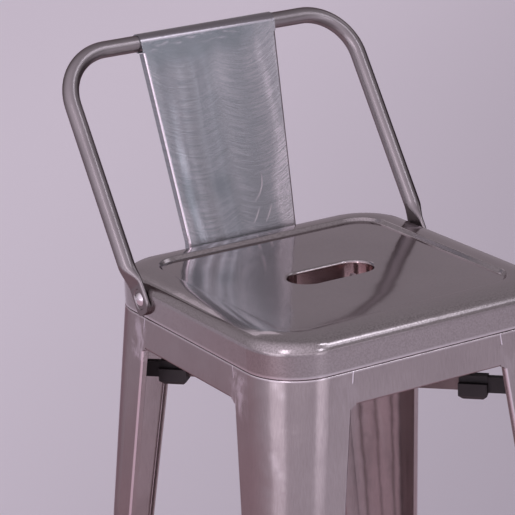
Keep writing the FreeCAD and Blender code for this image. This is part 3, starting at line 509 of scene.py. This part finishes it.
def ground_patch(tree, place, centred, height, along, sideways):
    """How far a place was ground, how bright the strokes are there, and the disc's scratches."""
    # The ground patch is 22 mm wide and reaches from the slit to just below the opening's corner.
    ragged = add(tree, "ShaderNodeTexNoise", {"Vector": place, "Scale": 1 / (14 * MM), "Detail": 2.0})
    ragged = add(tree, "ShaderNodeMath", {0: ragged, 1: 24 * MM, 2: -12 * MM}, operation="MULTIPLY_ADD")
    off_patch = add(tree, "ShaderNodeMath", {0: along, 1: PATCH_AT}, operation="SUBTRACT")
    off_patch = add(tree, "ShaderNodeMath", {0: off_patch, 1: ragged}, operation="ADD")
    off_patch = add(tree, "ShaderNodeMath", {0: off_patch}, operation="ABSOLUTE")
    in_width = add(tree, "ShaderNodeMapRange",
                   {"Value": off_patch, "From Min": 16 * MM, "From Max": 6 * MM},
                   interpolation_type="SMOOTHSTEP")
    rise = add(tree, "ShaderNodeMath", {0: height, 1: SEAM - PATCH_DROP}, operation="SUBTRACT")
    rise = add(tree, "ShaderNodeMath", {0: rise, 1: ragged}, operation="ADD")
    rise = add(tree, "ShaderNodeMath", {0: rise}, operation="ABSOLUTE")
    in_height = add(tree, "ShaderNodeMapRange", {"Value": rise, "From Min": 26 * MM, "From Max": 12 * MM},
                    interpolation_type="SMOOTHSTEP")
    patch = add(tree, "ShaderNodeMath", {0: in_width, 1: in_height}, operation="MULTIPLY")
    # Disc strokes run down the patch in curves: 6 mm wide, with 0.8 mm scratches in them.
    swept = add(tree, "ShaderNodeTexNoise", {"Vector": place, "Scale": 1 / (20 * MM), "Detail": 0.0},
                output="Color")
    swept = add(tree, "ShaderNodeVectorMath", {0: swept, 1: (20 * MM, 20 * MM, 0), 2: centred},
                operation="MULTIPLY_ADD")
    broad = add(tree, "ShaderNodeMapping",
                {"Vector": swept, "Scale": (1 / (6 * MM), 1 / (6 * MM), 1 / (30 * MM))})
    broad = add(tree, "ShaderNodeTexNoise", {"Vector": broad, "Scale": 1.0, "Detail": 1.0})
    fine = add(tree, "ShaderNodeMapping",
               {"Vector": swept, "Scale": (1 / (0.8 * MM), 1 / (0.8 * MM), 1 / (10 * MM))})
    disc = add(tree, "ShaderNodeTexNoise", {"Vector": fine, "Scale": 1.0, "Detail": 2.0})
    stroke = add(tree, "ShaderNodeMath", {0: disc, 1: 0.35, 2: broad}, operation="MULTIPLY_ADD")
    bright = add(tree, "ShaderNodeMapRange", {"Value": stroke, "From Min": 0.55, "From Max": 0.8})
    # The patch is faint on the front and the rear.
    ground = add(tree, "ShaderNodeMapRange", {"Value": sideways, "To Min": 0.12})
    patch = add(tree, "ShaderNodeMath", {0: patch, 1: ground}, operation="MULTIPLY")
    bright = add(tree, "ShaderNodeMath", {0: bright, 1: patch}, operation="MULTIPLY")
    return patch, bright, disc


print("ground patch", round((SEAM - PATCH_DROP) / MM, 1), "mm above the floor")

# %% Slit, seam and knocks
SLIT_AT = 78.5 * MM           # the slit's edge at the seam, from the stool's middle plane
SLIT_SLANT = 0.136            # how far it moves out for each unit down
SLIT_LENGTH = 11.8 * MM
KNOCK_RADIUS = 6 * MM
# Bright knocks and a scuff on the near leg: x, y and z in mm.
KNOCKS = (
    (-145.3, -144.5, 721.4), (-142.0, -150.0, 713.1), (-152.2, -146.4, 658.8),
    (-151.9, -148.0, 654.0), (-151.5, -149.5, 649.3), (-149.3, -153.7, 641.8),
)


def slit_and_seam(tree, tone, height, along):
    """The tone with painted highlights on the slit's edge and below the seam, and painted shade in the
    seam.
    """
    # The slit's cut edge, which slants with the leg, is painted bright as a painted highlight.
    drop = add(tree, "ShaderNodeMath", {0: SEAM, 1: height}, operation="SUBTRACT")
    edge = add(tree, "ShaderNodeMath", {0: drop, 1: -SLIT_SLANT, 2: along}, operation="MULTIPLY_ADD")
    edge = add(tree, "ShaderNodeMath", {0: edge, 1: SLIT_AT, 2: 0.8 * MM}, operation="COMPARE")
    upper = add(tree, "ShaderNodeMath", {0: drop, 1: SLIT_LENGTH}, operation="LESS_THAN")
    bare = add(tree, "ShaderNodeMath", {0: edge, 1: upper}, operation="MULTIPLY")
    tone = add(tree, "ShaderNodeMix", {"Factor": bare, "A": tone, "B": colour("#f2eef2")}, data_type="RGBA")
    # Just below the seam the sheet gets a painted highlight, and the seam itself is painted dark as painted
    # shade.
    seam_highlight = add(tree, "ShaderNodeMapRange", {
        "Value": height, "From Min": SEAM - 2.9 * MM, "From Max": SEAM - 1.3 * MM, "To Max": 0.6,
    })
    tone = add(tree, "ShaderNodeMix", {"Factor": seam_highlight, "A": tone, "B": colour("#fbf7f9")},
               data_type="RGBA")
    seam_shade = add(tree, "ShaderNodeMath", {0: height, 1: SEAM - 0.75 * MM}, operation="GREATER_THAN")
    tone = add(tree, "ShaderNodeMix", {"Factor": seam_shade, "A": tone, "B": colour("#5a5052")},
               data_type="RGBA")
    return tone


def with_knocks(tree, tone, place):
    """The tone with the bright knocks."""
    for x, y, z in KNOCKS:
        knock = add(tree, "ShaderNodeVectorMath", {0: place, 1: (x * MM, y * MM, z * MM)},
                    operation="DISTANCE")
        knock = add(tree, "ShaderNodeMapRange",
                    {"Value": knock, "From Min": KNOCK_RADIUS, "From Max": 0.0, "To Max": 0.14})
        tone = add(tree, "ShaderNodeMix", {"Factor": knock, "A": tone, "B": colour("#fbf8fa")},
                   data_type="RGBA")
    return tone


print(len(KNOCKS), "knocks, slit", round(SLIT_LENGTH / MM, 1), "mm long")

# %% Leg and apron finish
def folded_leg_steel():
    """Lacquered folded sheet: satin along the fold, with scratchy patches where welds were ground."""
    material, tree = new_material("folded_leg_steel")
    place = add(tree, "ShaderNodeTexCoord", output="Object")
    centred = add(tree, "ShaderNodeMapping", {"Vector": place, "Location": (0, -SEAT_MIDDLE_Y, 0)})
    split = add(tree, "ShaderNodeSeparateXYZ", {"Vector": centred}).node.outputs
    height = split["Z"]
    wide = add(tree, "ShaderNodeMath", {0: split["X"]}, operation="ABSOLUTE")
    deep = add(tree, "ShaderNodeMath", {0: split["Y"]}, operation="ABSOLUTE")
    along = add(tree, "ShaderNodeMath", {0: wide, 1: deep}, operation="MINIMUM")
    sideways = add(tree, "ShaderNodeMath", {0: wide, 1: deep}, operation="GREATER_THAN")
    # Tone drifts over about 50 mm, and the rolled grain is 1 mm wide and 12 mm long down the leg.
    drift = add(tree, "ShaderNodeTexNoise", {"Vector": place, "Scale": 1 / (50 * MM), "Detail": 3.0})
    stretched = add(tree, "ShaderNodeMapping",
                    {"Vector": place, "Scale": (1 / (1 * MM), 1 / (1 * MM), 1 / (12 * MM))})
    grain = add(tree, "ShaderNodeTexNoise", {"Vector": stretched, "Scale": 1.0, "Detail": 2.0})
    tone = add(tree, "ShaderNodeMix", {"Factor": drift, "A": colour("#b4adac"), "B": colour("#a49d9c")},
               data_type="RGBA")
    speck = add(tree, "ShaderNodeMapRange",
                {"Value": grain, "From Min": 0.35, "From Max": 0.7, "To Max": 0.22})
    tone = add(tree, "ShaderNodeMix", {"Factor": speck, "A": tone, "B": colour("#857d7d")},
               data_type="RGBA")
    patch, bright, disc = ground_patch(tree, place, centred, height, along, sideways)
    tone = add(tree, "ShaderNodeMix", {"Factor": bright, "A": tone, "B": colour("#d6d1d4")},
               data_type="RGBA")
    tone = slit_and_seam(tree, tone, height, along)
    tone = with_knocks(tree, tone, place)
    # The turned lips are painted bright as a painted highlight.
    sign = add(tree, "ShaderNodeVectorMath", {0: centred}, operation="SIGN")
    outward = add(tree, "ShaderNodeNewGeometry", output="Normal")
    outward = add(tree, "ShaderNodeVectorMath", {0: outward, 1: sign}, operation="MULTIPLY")
    outward = add(tree, "ShaderNodeSeparateXYZ", {"Vector": outward}).node.outputs
    lip_highlight = add(tree, "ShaderNodeMath", {0: outward["X"], 1: outward["Y"]}, operation="MULTIPLY")
    lip_highlight = add(tree, "ShaderNodeMapRange",
              {"Value": lip_highlight, "From Min": -0.1, "From Max": -0.35, "To Max": 0.8})
    tone = add(tree, "ShaderNodeMix", {"Factor": lip_highlight, "A": tone, "B": colour("#efe9ec")}, data_type="RGBA")
    satin = add(tree, "ShaderNodeMath", {0: grain, 1: 0.08, 2: 0.17}, operation="MULTIPLY_ADD")
    rough = add(tree, "ShaderNodeMath", {0: patch, 1: 0.1, 2: satin}, operation="MULTIPLY_ADD")
    # The folded sheet is slightly wavy, and the disc cut 0.1 mm deep.
    wave = add(tree, "ShaderNodeTexNoise", {"Vector": place, "Scale": 1 / (40 * MM), "Detail": 1.0})
    bent = add(tree, "ShaderNodeBump", {"Height": wave, "Strength": 1.0, "Distance": 0.6 * MM})
    cut = add(tree, "ShaderNodeMath", {0: disc, 1: patch}, operation="MULTIPLY")
    bent = add(tree, "ShaderNodeBump",
               {"Height": cut, "Strength": 1.0, "Distance": 0.1 * MM, "Normal": bent})
    shader = add(tree, "ShaderNodeBsdfPrincipled", {
        "Base Color": tone, "Metallic": 1.0, "Roughness": rough, "Normal": bent,
        "Specular Tint": colour("#a78c90"), "Coat Weight": 0.2, "Coat Roughness": 0.1,
    })
    add(tree, "ShaderNodeOutputMaterial", {"Surface": shader})
    return material


leg_steel = folded_leg_steel()
print("leg finish", len(leg_steel.node_tree.nodes), "nodes")

# %% [markdown]
# ## The bow: bent tube
# The bow is drawn tube, bent cold. Drawing leaves it smooth with very fine marks along its length, and the
# lacquer evens them out, so it is the plainest of the steels: a satin mirror with a little grain.

# %% Bow finish
def drawn_tube_steel():
    """Lacquered drawn tube: a smooth satin grey with a faint grain."""
    material, tree = new_material("drawn_tube_steel")
    place = add(tree, "ShaderNodeTexCoord", output="Object")
    drift = add(tree, "ShaderNodeTexNoise", {"Vector": place, "Scale": 1 / (35 * MM), "Detail": 3.0})
    grain = add(tree, "ShaderNodeTexNoise", {"Vector": place, "Scale": 1 / (1.2 * MM), "Detail": 2.0})
    tone = add(tree, "ShaderNodeMix", {"Factor": drift, "A": colour("#9b9797"), "B": colour("#898585")},
               data_type="RGBA")
    rough = add(tree, "ShaderNodeMath", {0: grain, 1: 0.04, 2: 0.27}, operation="MULTIPLY_ADD")
    wave = add(tree, "ShaderNodeTexNoise", {"Vector": place, "Scale": 1 / (20 * MM), "Detail": 1.0})
    bent = add(tree, "ShaderNodeBump", {"Height": wave, "Strength": 1.0, "Distance": 0.2 * MM})
    shader = add(tree, "ShaderNodeBsdfPrincipled", {
        "Base Color": tone, "Metallic": 1.0, "Roughness": rough, "Normal": bent,
        "Specular Tint": colour("#7d5f63"), "Coat Weight": 0.2, "Coat Roughness": 0.1,
    })
    add(tree, "ShaderNodeOutputMaterial", {"Surface": shader})
    return material


tube_steel = drawn_tube_steel()
print("bow finish", len(tube_steel.node_tree.nodes), "nodes")

# %% [markdown]
# ## The braces: flat bar in the shade of the seat
# The two crossed bars under the seat are hidden from most views. Their steel is painted a dark brown-grey
# as painted shade for their place under the seat; it has less gloss than the sheet, and paler blotches.

# %% Brace finish
def shaded_bar_steel():
    """Flat bar under lacquer: dull, painted dark brown-grey as painted shade, with paler blotches."""
    material, tree = new_material("shaded_bar_steel")
    place = add(tree, "ShaderNodeTexCoord", output="Object")
    # Blotches of about 12 mm, with a scale of about 1 mm on them.
    blotch = add(tree, "ShaderNodeTexNoise", {"Vector": place, "Scale": 1 / (12 * MM), "Detail": 3.0})
    scale = add(tree, "ShaderNodeTexNoise", {"Vector": place, "Scale": 1 / (1 * MM), "Detail": 2.0})
    tone = add(tree, "ShaderNodeMix", {"Factor": blotch, "A": colour("#6f6261"), "B": colour("#877b7a")},
               data_type="RGBA")
    rough = add(tree, "ShaderNodeMath", {0: scale, 1: 0.12, 2: 0.32}, operation="MULTIPLY_ADD")
    skin = add(tree, "ShaderNodeBump", {"Height": scale, "Strength": 1.0, "Distance": 0.04 * MM})
    shader = add(tree, "ShaderNodeBsdfPrincipled", {
        "Base Color": tone, "Metallic": 1.0, "Roughness": rough, "Normal": skin,
        "Coat Weight": 0.1, "Coat Roughness": 0.2,
    })
    add(tree, "ShaderNodeOutputMaterial", {"Surface": shader})
    return material


bar_steel = shaded_bar_steel()
print("brace finish", len(bar_steel.node_tree.nodes), "nodes")

# %% [markdown]
# ## Bolts and plastic
# The bolts and nuts are zinc plated, brighter and cooler than the lacquered steel. The feet and bumpers are
# moulded black plastic, with the faint pebbled skin that a mould gives. The skin could be modelled, but it
# is so shallow that a bump in the material is enough.

# %% Bolt and plastic finishes
def zinc_plated_bolt():
    """Bright zinc plate: pale, with a fine satin haze."""
    material, tree = new_material("zinc_plated_bolt")
    place = add(tree, "ShaderNodeTexCoord", output="Object")
    haze = add(tree, "ShaderNodeTexNoise", {"Vector": place, "Scale": 1 / (3 * MM), "Detail": 3.0})
    tone = add(tree, "ShaderNodeMix", {"Factor": haze, "A": colour("#eceaec"), "B": colour("#d4d1d3")},
               data_type="RGBA")
    rough = add(tree, "ShaderNodeMath", {0: haze, 1: 0.12, 2: 0.14}, operation="MULTIPLY_ADD")
    shader = add(tree, "ShaderNodeBsdfPrincipled",
                 {"Base Color": tone, "Metallic": 1.0, "Roughness": rough})
    add(tree, "ShaderNodeOutputMaterial", {"Surface": shader})
    return material


def moulded_black_plastic():
    """Moulded polypropylene: grey-black and matt, with a pebbled skin."""
    material, tree = new_material("moulded_black_plastic")
    place = add(tree, "ShaderNodeTexCoord", output="Object")
    # The pebbles are 0.8 mm apart, and dust greys the plastic over about 15 mm.
    pebble = add(tree, "ShaderNodeTexVoronoi", {"Vector": place, "Scale": 1 / (0.8 * MM)})
    dust = add(tree, "ShaderNodeTexNoise", {"Vector": place, "Scale": 1 / (15 * MM), "Detail": 3.0})
    tone = add(tree, "ShaderNodeMix", {"Factor": dust, "A": colour("#1d1a1b"), "B": colour("#353032")},
               data_type="RGBA")
    rough = add(tree, "ShaderNodeMapRange", {"Value": dust, "To Min": 0.42, "To Max": 0.62})
    skin = add(tree, "ShaderNodeBump", {"Height": pebble, "Strength": 0.5, "Distance": 0.06 * MM})
    shader = add(tree, "ShaderNodeBsdfPrincipled", {"Base Color": tone, "Roughness": rough, "Normal": skin})
    add(tree, "ShaderNodeOutputMaterial", {"Surface": shader})
    return material


zinc = zinc_plated_bolt()
plastic = moulded_black_plastic()
print("bolt finish", len(zinc.node_tree.nodes), "nodes, plastic", len(plastic.node_tree.nodes), "nodes")

# %% [markdown]
# ## Every piece gets its finish
# A piece's name says what it is, so the start of the name picks the finish. It could also be picked by hand
# for each of the 29 pieces, but then a forgotten one would keep the plain colour that it was packed with.
# Each CAD mesh keeps its shape and place, and only its material slot changes.

# %% Give each CAD node its finish
FINISHES = {
    "seat_": seat_steel, "back_splat": splat_steel, "back_bow": tube_steel,
    "leg_": leg_steel, "apron_": leg_steel, "brace_": bar_steel, "footrest_": leg_steel,
    "bow_": zinc, "splat_": zinc, "foot_": plastic, "bumper_": plastic,
}
for name, piece in nodes.items():
    finish = next(made for start, made in FINISHES.items() if name.startswith(start))
    piece.data.materials.clear()
    piece.data.materials.append(finish)
print(len(nodes), "nodes finished")

# %% [markdown]
# A finish must not make the stool any larger.

# %% Update the scene after the finishes
bpy.context.view_layer.update()
